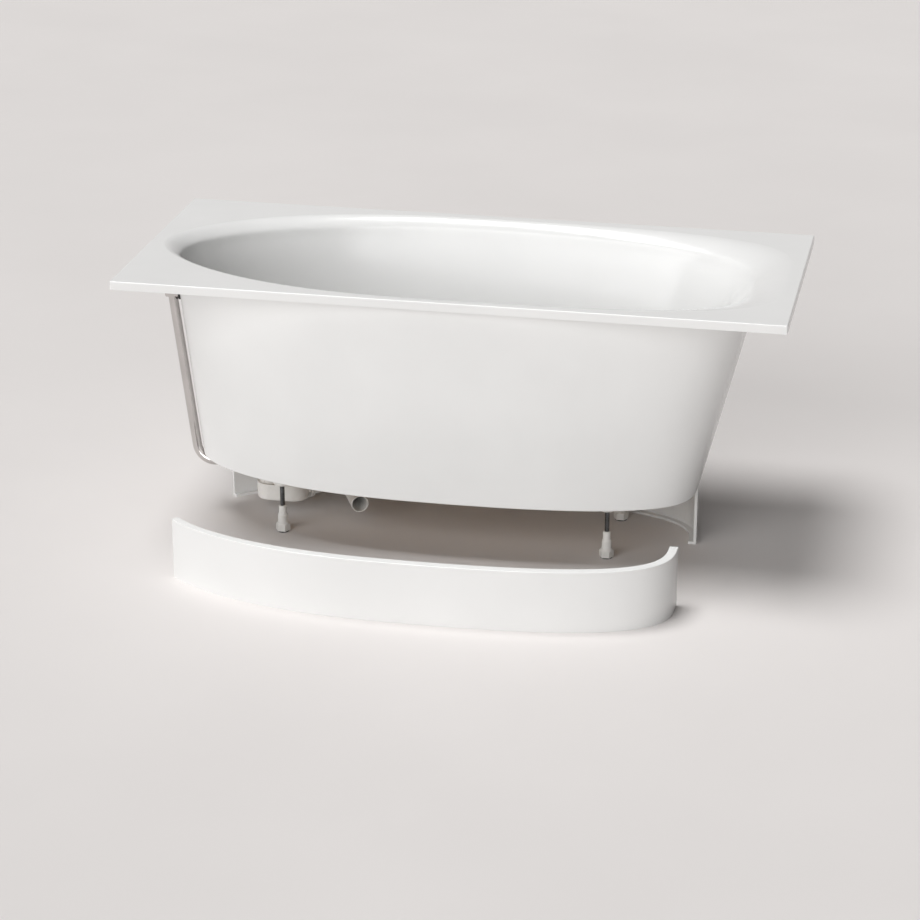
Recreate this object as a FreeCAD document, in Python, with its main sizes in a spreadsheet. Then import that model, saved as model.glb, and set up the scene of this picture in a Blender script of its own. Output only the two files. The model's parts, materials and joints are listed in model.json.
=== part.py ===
"""Built-in bathtub: rectangular rim, oval basin, tapered shell, adjustable feet and a two-part plinth."""
import FreeCAD
import Part
import math
import os
import re
from collections import namedtuple

import Sketcher

# Sizes in millimetres that can each be set alone; a name that ends in share has no unit
DRIVING = {
    # Rim: flat slab round the basin, its top at rim_height above the floor
    "rim_length": 1600,
    "rim_width": 700,
    "rim_thick": 21,
    "rim_round": 2.5,
    "rim_height": 685,
    # Flat of the rim between its edge and the rolled lip
    "lip_left": 34,
    "lip_right": 30,
    "lip_front": 20,
    "lip_back": 27,
    # Overhang of the rim past the top of the shell
    "over_left": 58,
    "over_right": 94,
    "over_front": 22,
    "over_back": 38,
    # How far the shell leans in from its top to its hem
    "hem_lean_left": 72,
    "hem_lean_right": 130,
    "hem_lean_front": 49,
    "hem_lean_back": 133,
    "shell_wall": 7,
    "hem_round": 4,
    # Fullness of each end of the ovals: a half is an ellipse, less is squarer
    "left_fullness_share": 0.52,
    "right_fullness_share": 0.333,
    "lip_right_fullness_share": 0.24,
    # Basin: its walls lean in this much more than the shell, and its right end bellies in for a back
    "bowl_wall": 7,
    "bowl_gap": 2,
    "wall_lean_left": 10,
    "wall_lean_right": 58.3,
    "wall_lean_front": 17.5,
    "wall_lean_back": 6.6,
    "end_belly": 35,
    "floor_round": 110,
    "floor_inset": 100,
    # Plinth, in two halves that meet at the right and leave an opening at the left
    "plinth_height": 150,
    "plinth_gap": 0.5,
    "plinth_inset": 6,
    "plinth_inset_right": 0,
    "plinth_wall": 7,
    "plinth_flange": 20,
    "plinth_flange_thick": 6,
    "plinth_round": 1.5,
    "plinth_opening": 152,
    "plinth_joint_gap": 0.5,
    "plinth_pull_out": 367,
    # Board in the hem and the bearers between it and the basin floor
    "board_thick": 18,
    "board_rise": 24,
    "board_gap": 0.3,
    "bearer_width": 60,
    "bearer_length": 160,
    "bearer_height": 55.5,
    "bearer_spacing": 500,
    # Feet: how far each pair stands in from the end of the hem, and in from an ellipse through its sides
    "foot_inset_left": 230,
    "foot_inset_right": 204,
    "foot_edge_left": 57.7,
    "foot_edge_right": 49.5,
    "foot_height": 69,
    "foot_travel": 14,
    "boss_diameter": 44,
    "boss_drop": 27,
    "boss_round": 9,
    "boss_flange_diameter": 74,
    "boss_flange_thick": 6,
    "boss_screw_circle": 60,
    "insert_diameter": 18,
    "insert_length": 30,
    "rod_diameter": 12,
    "rod_rise": 36,
    "rod_end_gap": 1,
    "rod_chamfer": 1,
    "rod_room": 0.5,
    "thread_clearance": 0.05,
    "screw_diameter": 5,
    "screw_length": 18,
    "screw_head_diameter": 9,
    "screw_head_thick": 3,
    "screw_clearance": 0.1,
    "hex_width": 32,
    "hex_height": 17,
    "collar_height": 5,
    "neck_low_diameter": 24,
    "neck_low_height": 19,
    "neck_shoulder": 4,
    "neck_top_diameter": 19,
    "neck_chamfer": 1.5,
    "sleeve_floor": 8,
    "sole_thick": 3,
    "sole_gap": 0.3,
    "sole_diameter": 29,
    "sole_stud_diameter": 8,
    "sole_stud_height": 5,
    "sole_stud_room": 1,
    # Waste in the basin floor
    "drain_reach": 300,
    "waste_flange_diameter": 70,
    "waste_flange_thick": 3,
    "waste_tail_diameter": 48,
    "waste_tail_wall": 2,
    "waste_tail_length": 43,
    "waste_room": 0.5,
    "gasket_thick": 3,
    "spider_drop": 26,
    "spider_width": 8,
    "spider_thick": 4,
    "hub_diameter": 18,
    "hub_height": 8,
    "cartridge_diameter": 15,
    "cartridge_height": 16,
    "cartridge_stud_diameter": 10,
    "cartridge_stud_length": 12,
    "plug_diameter": 60,
    "plug_thick": 5,
    "plug_dome": 2,
    "plug_edge": 2,
    "plug_lift": 8,
    "plug_gap": 0.3,
    "plug_stem_diameter": 6,
    "plug_stem_length": 30,
    "plug_seal_diameter": 54,
    "plug_seal_width": 7,
    "plug_seal_thick": 3,
    "waste_body_diameter": 74,
    "waste_body_flange": 5,
    "waste_neck_diameter": 58,
    "waste_neck_length": 35,
    "waste_cone_length": 15,
    "waste_bore_depth": 37,
    "waste_step": 5,
    "tail_diameter": 40,
    "tail_wall": 2.5,
    "tail_insertion": 24,
    # Trap, its foot this far under the hem
    "trap_drop": 110.5,
    "trap_height": 40,
    "trap_width": 72,
    "trap_spacing": 58,
    "trap_wall": 3,
    "trap_round": 7,
    "trap_cover_thick": 4,
    "trap_fit": 0.2,
    "trap_nut_diameter": 58,
    "trap_nut_height": 8,
    "trap_nut_top_diameter": 50,
    "trap_nut_step": 6,
    "lid_diameter": 54,
    "lid_thick": 5,
    "lid_chamfer": 1.5,
    "lid_plug_diameter": 44,
    "lid_plug_depth": 8,
    "outlet_drop": 20,
    "outlet_wall": 3,
    "outlet_length": 18,
    "outlet_gap": 0.5,
    "outlet_turn_share": 0.125,
    "outlet_nut_diameter": 52,
    "outlet_nut_length": 12,
    "drain_diameter": 43,
    "drain_wall": 2,
    "drain_bend": 45,
    "drain_first_run": 151,
    "drain_last_run": 180,
    "drain_turn_share": 0.18,
    # Overflow at the left end
    "overflow_depth": 130,
    "overflow_diameter": 26,
    "overflow_bore": 19,
    "overflow_seat": 12,
    "rosette_diameter": 62,
    "rosette_thick": 9,
    "rosette_wall": 3,
    "rosette_slot": 30,
    "rosette_edge": 2,
    "overflow_gasket_diameter": 58,
    "overflow_washer_diameter": 38,
    "overflow_washer_thick": 6,
    "elbow_diameter": 30,
    "elbow_end": 4,
    "pipe_diameter": 24,
    "pipe_wall": 1.5,
    "pipe_fit": 0.1,
    "pipe_standoff_top": 13,
    "pipe_standoff_low": 8,
    "pipe_bend": 45,
    "pipe_drop": 25.5,
    "socket_diameter": 30,
    "socket_length": 28,
    "socket_depth": 18,
    "socket_nut_diameter": 36,
    "socket_nut_length": 14,
    # Length by which every cutting solid passes the faces that it cuts
    "overrun": 5,
}

# Places that follow from the sizes, measured from the middle of the floor under the whole part
DERIVED = {
    "rim_under_z": "rim_height - rim_thick",
    "hem_z": "plinth_height + plinth_gap",
    "hem_left": "over_left + hem_lean_left - rim_length / 2",
    "hem_right": "rim_length / 2 - over_right - hem_lean_right",
    "hem_half_length": "(hem_right - hem_left) / 2",
    "hem_front": "over_front + hem_lean_front - rim_width / 2",
    "hem_back": "rim_width / 2 - over_back - hem_lean_back",
    "hem_half_width": "(hem_back - hem_front) / 2",
    "front_reach": "plinth_pull_out + hem_half_width - plinth_inset - (hem_back + hem_front) / 2",
    "rim_y": "(front_reach - rim_width / 2) / 2",
    "axis_y": "rim_y + (hem_back + hem_front) / 2",
    "board_z": "hem_z + board_rise",
    "board_top_z": "board_z + board_thick",
    "bowl_under_z": "board_top_z + bearer_height",
    "floor_z": "bowl_under_z + bowl_wall",
    "basin_depth": "rim_height - floor_z",
    "foot_left_x": "hem_left + foot_inset_left",
    "foot_right_x": "hem_right - foot_inset_right",
    "foot_middle_x": "(foot_left_x + foot_right_x) / 2",
    "foot_share_left": "1 - foot_inset_left / hem_half_length",
    "foot_share_right": "1 - foot_inset_right / hem_half_length",
    "foot_reach_left": "hem_half_width * sqrt(1 - foot_share_left ^ 2) - foot_edge_left",
    "foot_reach_right": "hem_half_width * sqrt(1 - foot_share_right ^ 2) - foot_edge_right",
    "boss_z": "hem_z - boss_drop",
    "boss_height": "board_z - boss_z",
    "drain_x": "drain_reach - rim_length / 2",
    "waste_top_z": "bowl_under_z - gasket_thick",
    "spider_z": "floor_z - spider_drop",
    "hub_top_z": "spider_z + hub_height / 2",
    "plug_z": "floor_z + waste_flange_thick + plug_gap + plug_lift + plug_seal_thick",
    "trap_z": "hem_z - trap_drop",
    "cover_z": "trap_z + trap_height",
    "cover_top_z": "cover_z + trap_cover_thick",
    "lid_x": "drain_x + trap_spacing",
    "outlet_z": "cover_z - outlet_drop",
    "drain_start": "trap_width / 2 + outlet_gap",
    "sleeve_z": "sole_thick + sole_gap",
    "rod_end_z": "sleeve_z + sleeve_floor + foot_travel + rod_end_gap",
    "tail_end_z": "cover_top_z - tail_insertion",
    "overflow_z": "rim_height - overflow_depth",
    "pipe_low_z": "hem_z - pipe_drop",
    "socket_x": "drain_x - tail_diameter / 2 - socket_length",
}

OVAL_POINT_COUNT = 40
HALVING_COUNT = 40
ROLL_IN_SHARES = (0.15, 0.35, 0.55, 0.75, 0.9, 1)
ROLL_DOWN_SHARES = (0.033, 0.151, 0.341, 0.596, 0.827, 1)
BELLY_PEAK_SHARE = 4 / 27
WALL_STEP_SHARES = (0.06, 0.14, 0.27, 0.5, 0.75, 1)
ROUND_STEP_SHARES = (1 / 3, 2 / 3, 1)
BOSS_SCREW_COUNT = 3
HEX_SIDE_COUNT = 6
Vector = FreeCAD.Vector
UP, RIGHT, LEFT = Vector(0, 0, 1), Vector(1, 0, 0), Vector(-1, 0, 0)

doc = FreeCAD.newDocument("bathtub")
nodes = {}


def make_sheet():
    """Fill the sheet: a name in column A, its number or formula in column B under the same alias."""
    sheet = doc.addObject("Spreadsheet::Sheet", "dims")
    rows = [(name, str(value)) for name, value in DRIVING.items()]
    rows += [(name, "=" + formula) for name, formula in DERIVED.items()]
    for row, (name, text) in enumerate(rows, 1):
        sheet.set(f"A{row}", name)
        sheet.set(f"B{row}", text)
        sheet.setAlias(f"B{row}", name)
    doc.recompute()
    return sheet


dims = make_sheet()


def size(name):
    """Read one size or place from the sheet."""
    return float(dims.get(name))


def tied(text):
    """Turn a formula in size names into one that reads the sheet."""
    known = set(DRIVING) | set(DERIVED)
    return re.sub(r"[a-z]\w*", lambda word: f"dims.{word[0]}" if word[0] in known else word[0], text)


def bind(item, **formulas):
    """Tie properties of a document object to the sheet."""
    for prop, text in formulas.items():
        item.setExpression(prop, tied(str(text)))
    return item


def place(item, x="0", y="0", z="0", along=UP):
    """Stand an object at a place that follows the sheet, its own z axis along the given direction."""
    item.Placement = FreeCAD.Placement(Vector(), FreeCAD.Rotation(UP, along))
    for letter, text in zip("xyz", (x, y, z)):
        item.setExpression(f"Placement.Base.{letter}", tied(text))
    return item


def node(name, item):
    """Name a document object as one piece of the bathtub."""
    item.Label = name
    nodes[name] = item
    return item


def feature(name, shape):
    """Keep a shape that is worked out here as a document object."""
    item = doc.addObject("Part::Feature", name)
    item.Shape = shape
    return item


def origin_plane(body, role):
    """Find one of a body's own origin planes."""
    return next(plane for plane in body.Origin.OriginFeatures if plane.Role == role)


def new_sketch(body, name, role):
    """Add a sketch on one of the body's origin planes."""
    sketch = body.newObject("Sketcher::SketchObject", name)
    sketch.AttachmentSupport = [(origin_plane(body, role), "")]
    sketch.MapMode = "FlatFace"
    return sketch


def turned(name, profile):
    """Turn a closed profile of (radius, height) formulas about the z axis."""
    body = doc.addObject("PartDesign::Body", name)
    sketch = new_sketch(body, name + "_profile", "XZ_Plane")
    count = len(profile)
    turns = [2 * math.pi * i / count for i in range(count)]
    corners = [Vector(math.cos(turn), math.sin(turn), 0) for turn in turns]
    for i in range(count):
        sketch.addGeometry(Part.LineSegment(corners[i], corners[(i + 1) % count]))
    for i in range(count):
        sketch.addConstraint(Sketcher.Constraint("Coincident", i, 2, (i + 1) % count, 1))
    for i, pair in enumerate(profile):
        for kind, text, start in zip(("DistanceX", "DistanceY"), pair, corners[i]):
            index = sketch.addConstraint(Sketcher.Constraint(kind, -1, 1, i, 1, start))
            sketch.setExpression(f"Constraints[{index}]", tied(text))
    doc.recompute()
    turn = body.newObject("PartDesign::Revolution", name + "_turn")
    turn.Profile = sketch
    turn.ReferenceAxis = (sketch, ["V_Axis"])
    doc.recompute()
    return body


def ring(name, outer, inner, height):
    """Turn a plain ring from formulas for its outer and inner diameters and its height."""
    half_outer, half_inner = f"({outer}) / 2", f"({inner}) / 2"
    return turned(name, [(half_inner, "0"), (half_outer, "0"), (half_outer, height), (half_inner, height)])


def cylinder(name, diameter, height, **where):
    """Add a cylinder tied to the sheet."""
    item = bind(doc.addObject("Part::Cylinder", name), Radius=f"({diameter}) / 2", Height=height)
    return place(item, **where)


def block(name, length, width, height, **where):
    """Add a box tied to the sheet."""
    item = bind(doc.addObject("Part::Box", name), Length=length, Width=width, Height=height)
    return place(item, **where)


def joined(name, items):
    """Fuse objects into one solid."""
    item = doc.addObject("Part::MultiFuse", name)
    item.Shapes = items
    item.Refine = True
    return item


def cut(name, base, tool):
    """Cut one object out of another."""
    item = doc.addObject("Part::Cut", name)
    item.Base = base
    item.Tool = tool
    return item


def group(name, items):
    """Hold identical pieces together as separate solids."""
    item = doc.addObject("Part::Compound", name)
    item.Links = items
    return item


# Ovals that shape the basin, the shell, the board and the plinth

Oval = namedtuple("Oval", "x y half_length half_width right_share belly")


def oval_in(left, right, front, back):
    """Oval that fills the given sides, measured from the middle of the rim."""
    middle = (left + right) / 2, (front + back) / 2
    return Oval(*middle, (right - left) / 2, (back - front) / 2, size("right_fullness_share"), 0)


def inset(oval, by):
    """Oval with every side moved inwards."""
    return oval._replace(half_length=oval.half_length - by, half_width=oval.half_width - by)


def right_end_in(oval, by):
    """Oval with only its right end bellied inwards."""
    return oval._replace(belly=oval.belly + by)


def between(first, second, share):
    """Oval part of the way from one to another; a share past one runs on beyond the second."""
    return Oval(*(a + (b - a) * share for a, b in zip(first, second)))


def oval_point(oval, turn):
    """Point of an oval at a turn from its right end, round the middle of the rim."""
    left, right = size("left_fullness_share"), oval.right_share
    power = 2 / (left + right + (right - left) * math.cos(turn))
    cosine, sine = math.cos(turn), math.sin(turn)
    swell = (abs(cosine) ** power + abs(sine) ** power) ** (-1 / power)
    x = oval.x + oval.half_length * cosine * swell - oval.belly * max(cosine, 0) ** 2
    return Vector(x, oval.y + oval.half_width * sine * swell, 0)


def oval_wire(oval, height):
    """Closed smooth outline of an oval at a height above the floor."""
    lift = Vector(0, size("rim_y"), height)
    turns = [2 * math.pi * i / OVAL_POINT_COUNT for i in range(OVAL_POINT_COUNT)]
    curve = Part.BSplineCurve()
    curve.interpolate(Points=[oval_point(oval, turn) + lift for turn in turns], PeriodicFlag=True)
    return Part.Wire([curve.toShape()])


def loft(outlines, ruled):
    """Solid through ovals, each given with its height."""
    return Part.makeLoft([oval_wire(oval, height) for oval, height in outlines], True, ruled)


def prism(oval, low, high):
    """Upright solid on an oval."""
    return Part.Face(oval_wire(oval, low)).extrude(Vector(0, 0, high - low))


def rim_side(left, right, front, back):
    """Oval whose sides lie given distances inside the edges of the rim."""
    half_length, half_width = size("rim_length") / 2, size("rim_width") / 2
    return oval_in(left - half_length, half_length - right, front - half_width, half_width - back)


def sides(prefix):
    """The four sizes that share a prefix, in the order left, right, front, back."""
    return [size(f"{prefix}_{side}") for side in ("left", "right", "front", "back")]


def leaned(oval, prefix):
    """Oval with its sides moved in by the four sizes that share a prefix."""
    left, right, front, back = sides(prefix)
    return oval_in(
        oval.x - oval.half_length + left,
        oval.x + oval.half_length - right,
        oval.y - oval.half_width + front,
        oval.y + oval.half_width - back,
    )


SHELL_TOP = rim_side(*sides("over"))
HEM = leaned(SHELL_TOP, "hem_lean")
LIP = rim_side(*sides("lip"))._replace(right_share=size("lip_right_fullness_share"))
PLINTH = right_end_in(inset(HEM, size("plinth_inset")), size("plinth_inset_right") - size("plinth_inset"))


def shell_oval(height):
    """Outer outline of the shell at a height above the floor."""
    return between(SHELL_TOP, HEM, (size("rim_under_z") - height) / (size("rim_under_z") - size("hem_z")))


def in_shell(height):
    """Outline at a height above the floor that leaves room for both walls inside the shell."""
    return inset(shell_oval(height), size("shell_wall") + size("bowl_gap") + size("bowl_wall"))


WALL_TOP = in_shell(size("rim_under_z"))
WALL_FOOT = leaned(in_shell(size("floor_z") + size("floor_round")), "wall_lean")
FLOOR = inset(WALL_FOOT, size("floor_inset"))


def wall_oval(share):
    """Outline of the basin a share of the way down its walls, with the belly of its right end."""
    belly = size("end_belly") * share * (1 - share) ** 2 / BELLY_PEAK_SHARE
    return right_end_in(between(WALL_TOP, WALL_FOOT, share), belly)


def wall_outlines(grow, drop):
    """Outlines of the basin's walls and rounded floor, grown sideways and dropped by given amounts."""
    low = size("floor_z") + size("floor_round")
    outlines = []
    for share in WALL_STEP_SHARES:
        height = size("rim_under_z") + (low - size("rim_under_z")) * share
        outlines.append((inset(wall_oval(share), -grow), height - drop * share))
    for share in ROUND_STEP_SHARES:
        angle = math.pi / 2 * share
        height = low - size("floor_round") * math.sin(angle)
        outlines.append((inset(between(WALL_FOOT, FLOOR, 1 - math.cos(angle)), -grow), height - drop))
    return outlines


def basin_hollow():
    """Hollow of the basin, from the rolled lip down to the flat floor."""
    outlines = [(LIP, size("rim_height"))]
    for inwards, down in zip(ROLL_IN_SHARES, ROLL_DOWN_SHARES):
        outlines.append((between(LIP, WALL_TOP, inwards), size("rim_height") - size("rim_thick") * down))
    return loft(outlines + wall_outlines(0, 0), False)


def overflow_left():
    """Place of the shell's left end at the overflow's height, along and across the bath."""
    oval = shell_oval(size("overflow_z"))
    return oval.x - oval.half_length, oval.y + size("rim_y")


def along_x(diameter, start, end, y, z):
    """Round bar that runs along the x axis between two places."""
    return Part.makeCylinder(diameter / 2, end - start, Vector(start, y, z), Vector(1, 0, 0))


def overflow_hole(start, end):
    """Bar that cuts the way of the overflow through the walls."""
    width = size("overflow_diameter") + size("waste_room")
    return along_x(width, start, end, overflow_left()[1], size("overflow_z"))


def upright(diameter, x, y, low, high):
    """Round bar that stands between two heights."""
    return Part.makeCylinder(diameter / 2, high - low, Vector(x, y, low))


HOLLOW = basin_hollow()
SHELL_SOLID = loft([(SHELL_TOP, size("rim_under_z")), (HEM, size("hem_z"))], True)


def bath_bowl():
    """Rim slab and basin in one moulding, with the waste's hole and flat seat and the overflow's hole."""
    length, width, thick = size("rim_length"), size("rim_width"), size("rim_thick")
    corner = Vector(-length / 2, size("rim_y") - width / 2, size("rim_under_z"))
    slab = Part.makeBox(length, width, thick, corner)
    edges = [edge for edge in slab.Edges if edge.CenterOfMass.z > size("rim_under_z")]
    slab = slab.makeFillet(size("rim_round"), edges)
    wall = size("bowl_wall")
    cup = [(inset(WALL_TOP, -wall), size("rim_under_z") + thick / 2)] + wall_outlines(wall, wall)
    bowl = slab.fuse(loft(cup, False)).cut(HOLLOW)
    middle = size("drain_x"), size("axis_y")
    low = size("bowl_under_z") - size("overrun")
    floor = size("floor_z")
    high = size("plug_z") + size("overrun")
    bowl = bowl.cut(upright(size("waste_tail_diameter") + size("waste_room"), *middle, low, high))
    bowl = bowl.cut(upright(size("waste_flange_diameter") + size("waste_room"), *middle, floor, high))
    return bowl.cut(overflow_hole(overflow_left()[0], overflow_left()[0] + size("rosette_diameter")))


def outer_shell():
    """Tapered oval skirt, open above and below, with a rounded hem and the hole for the overflow."""
    top, low, over = size("rim_under_z"), size("hem_z"), size("overrun")
    wall = size("shell_wall")
    inside = loft([(inset(shell_oval(height), wall), height) for height in (top + over, low - over)], True)
    skirt = SHELL_SOLID.cut(inside)
    low_edges = [edge for edge in skirt.Edges if edge.BoundBox.ZMax < low + over]
    hem = max(low_edges, key=lambda edge: edge.Length)
    skirt = skirt.makeFillet(size("hem_round"), [hem])
    left = overflow_left()[0]
    return skirt.cut(overflow_hole(left - over, left + size("rosette_diameter")))


def foot_places():
    """Formulas for the place of each foot, under its name."""
    places = {}
    for depth, cross in (("front", "-"), ("back", "+")):
        for end in ("left", "right"):
            places[f"{depth}_{end}"] = (f"foot_{end}_x", f"axis_y {cross} foot_reach_{end}")
    return places


def foot_xy(corner):
    """Place of one foot in millimetres."""
    depth, end = corner.split("_")
    cross = 1 if depth == "back" else -1
    return size(f"foot_{end}_x"), size("axis_y") + cross * size(f"foot_reach_{end}")


def screw_xy(corner):
    """Places of the screws round one boss."""
    x, y = foot_xy(corner)
    reach = size("boss_screw_circle") / 2
    turns = [2 * math.pi * i / BOSS_SCREW_COUNT for i in range(BOSS_SCREW_COUNT)]
    return [(x + reach * math.cos(turn), y + reach * math.sin(turn)) for turn in turns]


def screw_holes(low, high):
    """Bars that cut the screw holes of all bosses between two heights."""
    width = size("screw_diameter") + 2 * size("screw_clearance")
    spots = [spot for corner in foot_places() for spot in screw_xy(corner)]
    return Part.makeCompound([upright(width, x, y, low, high) for x, y in spots])


def base_board():
    """Oval board bonded into the foot of the shell, with the way for the waste and the screw holes."""
    low, top, over = size("board_z"), size("board_top_z"), size("overrun")
    back = size("shell_wall") + size("board_gap")
    board = loft([(inset(shell_oval(height), back), height) for height in (low, top)], True)
    way = upright(size("waste_neck_diameter"), size("drain_x"), size("axis_y"), low - over, top + over)
    return board.cut(way).cut(screw_holes(low - over, top + over))


def boss_screws():
    """All screws of the bosses: a shank up into the board and a head under the boss's flange."""
    screws = []
    seat = size("board_z") - size("boss_flange_thick")
    for corner in foot_places():
        for x, y in screw_xy(corner):
            shank = upright(size("screw_diameter"), x, y, seat, seat + size("screw_length"))
            head = upright(size("screw_head_diameter"), x, y, seat - size("screw_head_thick"), seat)
            screws.append(shank.fuse(head).removeSplitter())
    return Part.makeCompound(screws)


def plinth_ring():
    """Whole plinth before it is split: an upright wall with return flanges at its top and foot."""
    height, flange = size("plinth_height"), size("plinth_flange_thick")
    over = size("overrun")
    body = prism(PLINTH, 0, height)
    body = body.cut(prism(inset(PLINTH, size("plinth_flange")), -over, height + over))
    return body.cut(prism(inset(PLINTH, size("plinth_wall")), flange, height - flange))


def opening_turn():
    """Turn of the point where the plinth's outer face meets the edge of the opening, behind the axis."""
    low, high = math.pi / 2, math.pi
    target = size("plinth_opening") / 2
    for _ in range(HALVING_COUNT):
        middle = (low + high) / 2
        if oval_point(PLINTH, middle).y - PLINTH.y > target:
            low = middle
        else:
            high = middle
    return low


def plinth_half(whole, behind):
    """Half of the plinth, cut square to its wall at the opening; behind is 1 for the rear half, else -1."""
    reach = PLINTH.half_length * 2
    height = size("plinth_height")
    split = size("axis_y") + behind * size("plinth_joint_gap") / 2
    corner = Vector(PLINTH.x - reach, split - (reach if behind < 0 else 0), 0)
    half = whole.common(Part.makeBox(reach * 2, reach, height, corner))
    turn = opening_turn()
    end = oval_point(PLINTH, turn)
    step = end - oval_point(PLINTH, turn - math.pi / OVAL_POINT_COUNT)
    angle = math.degrees(math.atan2(behind * step.y, step.x))
    side = size("plinth_opening")
    tool = Part.makeBox(side, side * 2, height, Vector(0, -side, 0))
    spot = Vector(end.x, size("axis_y") + behind * (end.y - PLINTH.y), 0)
    tool.Placement = FreeCAD.Placement(spot, FreeCAD.Rotation(UP, angle)).multiply(tool.Placement)
    half = half.cut(tool)
    return half.makeFillet(size("plinth_round"), plinth_edges(half))


def plinth_edges(half):
    """Long outer edge at the top of a plinth half."""
    top = [edge for edge in half.Edges if edge.BoundBox.ZMin > size("plinth_height") - size("plinth_round")]
    return [max(top, key=lambda edge: edge.Length)]


def rounded_path(points, radius):
    """Wire of straight runs with a tangent arc at each inner point."""
    edges = []
    start = points[0]
    for before, corner, after in zip(points, points[1:], points[2:]):
        back, ahead = (before - corner).normalize(), (after - corner).normalize()
        half = back.getAngle(ahead) / 2
        inner, outer = corner + back * (radius / math.tan(half)), corner + ahead * (radius / math.tan(half))
        middle = corner + (back + ahead).normalize() * (radius / math.sin(half) - radius)
        edges += [Part.LineSegment(start, inner).toShape(), Part.Arc(inner, middle, outer).toShape()]
        start = outer
    edges.append(Part.LineSegment(start, points[-1]).toShape())
    return Part.Wire(edges)


def pipe(points, bend, diameter, wall):
    """Round tube along a path with rounded corners."""
    path = rounded_path(points, bend)
    direction = points[1] - points[0]
    tubes = []
    for radius in (diameter / 2, diameter / 2 - wall):
        ring_wire = Part.Wire([Part.Circle(points[0], direction, radius).toShape()])
        tubes.append(path.makePipeShell([ring_wire], True, False))
    return tubes[0].cut(tubes[1])


def pipe_places():
    """Corners of the overflow pipe: inside its elbow, under the hem, inside the waste's socket."""
    half = size("pipe_diameter") / 2
    left, y = overflow_left()
    low = shell_oval(size("pipe_low_z"))
    low_x = low.x - low.half_length - size("pipe_standoff_low") - half
    corner = Vector(low_x, size("axis_y"), size("pipe_low_z"))
    end = Vector(size("socket_x") + size("socket_depth"), size("axis_y"), size("pipe_low_z"))
    return [Vector(left - size("pipe_standoff_top") - half, y, size("overflow_z")), corner, end]


def turned_from_right(share):
    """Level direction turned from the right towards the back by a share of a full turn."""
    turn = 2 * math.pi * share
    return Vector(math.cos(turn), math.sin(turn), 0)


OUTWARDS = turned_from_right(size("outlet_turn_share"))


def drain_places():
    """Corners of the drain pipe: on the trap's outlet, at the bend, at the open mouth."""
    middle = Vector(size("lid_x"), size("axis_y"), size("outlet_z"))
    corner = middle + OUTWARDS * size("drain_first_run")
    mouth = corner + turned_from_right(-size("drain_turn_share")) * size("drain_last_run")
    return [middle + OUTWARDS * size("drain_start"), corner, mouth]


def overflow_face():
    """Place of the flat face that the gasket gives the rosette inside the basin."""
    wall_height = size("basin_depth") - size("floor_round") - size("rim_thick")
    wall = between(WALL_TOP, WALL_FOOT, (size("overflow_depth") - size("rim_thick")) / wall_height)
    return wall.x - wall.half_length + size("overflow_seat")


def overflow_gasket():
    """Wedge of rubber between the sloping basin wall and the rosette."""
    y, z = overflow_left()[1], size("overflow_z")
    face = overflow_face()
    start = face - size("overflow_gasket_diameter")
    outside = along_x(size("overflow_gasket_diameter"), start, face, y, z)
    wedge = outside.cut(along_x(size("overflow_diameter") + size("waste_room"), start, face, y, z))
    return wedge.common(HOLLOW)


def overflow_rosette():
    """Round cover of the overflow, a shallow cap with a slot at its foot."""
    y, z, face = overflow_left()[1], size("overflow_z"), overflow_face()
    wall, thick = size("rosette_wall"), size("rosette_thick")
    cap = along_x(size("rosette_diameter"), face, face + thick, y, z)
    rim = [edge for edge in cap.Edges if edge.BoundBox.XMin > face + thick / 2]
    cap = cap.makeFillet(size("rosette_edge"), rim)
    cap = cap.cut(along_x(size("rosette_diameter") - 2 * wall, face, face + thick - wall, y, z))
    slot = size("rosette_slot")
    low = Vector(face, y - slot / 2, z - size("rosette_diameter") / 2 - wall)
    return cap.cut(Part.makeBox(thick - wall, slot, size("rosette_diameter") / 2, low))


def overflow_body():
    """Tube through both walls that ends in the elbow which holds the overflow pipe."""
    left, y = overflow_left()
    z, end = size("overflow_z"), pipe_places()[0].x - size("pipe_diameter") / 2 - size("elbow_end")
    washer_end = left - size("overflow_washer_thick")
    tube = along_x(size("overflow_diameter"), end, overflow_face(), y, z)
    head = along_x(size("elbow_diameter"), end, washer_end, y, z)
    rim = [edge for edge in head.Edges if edge.BoundBox.XMax < (end + washer_end) / 2]
    body = tube.fuse(head.makeFillet(size("elbow_end") / 2, rim)).removeSplitter()
    body = body.cut(along_x(size("overflow_bore"), end + size("elbow_end"), overflow_face(), y, z))
    top, corner, last = pipe_places()
    down = (corner - top).normalize()
    width = size("pipe_diameter") + 2 * size("pipe_fit")
    return body.cut(Part.makeCylinder(width / 2, size("elbow_diameter"), top, down))


def overflow_washer():
    """Wedge of rubber between the elbow and the leaning shell."""
    left, y = overflow_left()
    start, end = left - size("overflow_washer_thick"), left + size("overflow_seat")
    wedge = along_x(size("overflow_washer_diameter"), start, end, y, size("overflow_z"))
    return wedge.cut(overflow_hole(start - size("overrun"), end + size("overrun"))).cut(SHELL_SOLID)


def overflow_pipe():
    """Bright tube from the elbow down the left end and under the hem to the waste."""
    return pipe(pipe_places(), size("pipe_bend"), size("pipe_diameter"), size("pipe_wall"))


def drain_pipe():
    """White pipe from the trap with one bend to its open mouth."""
    return pipe(drain_places(), size("drain_bend"), size("drain_diameter"), size("drain_wall"))


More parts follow.
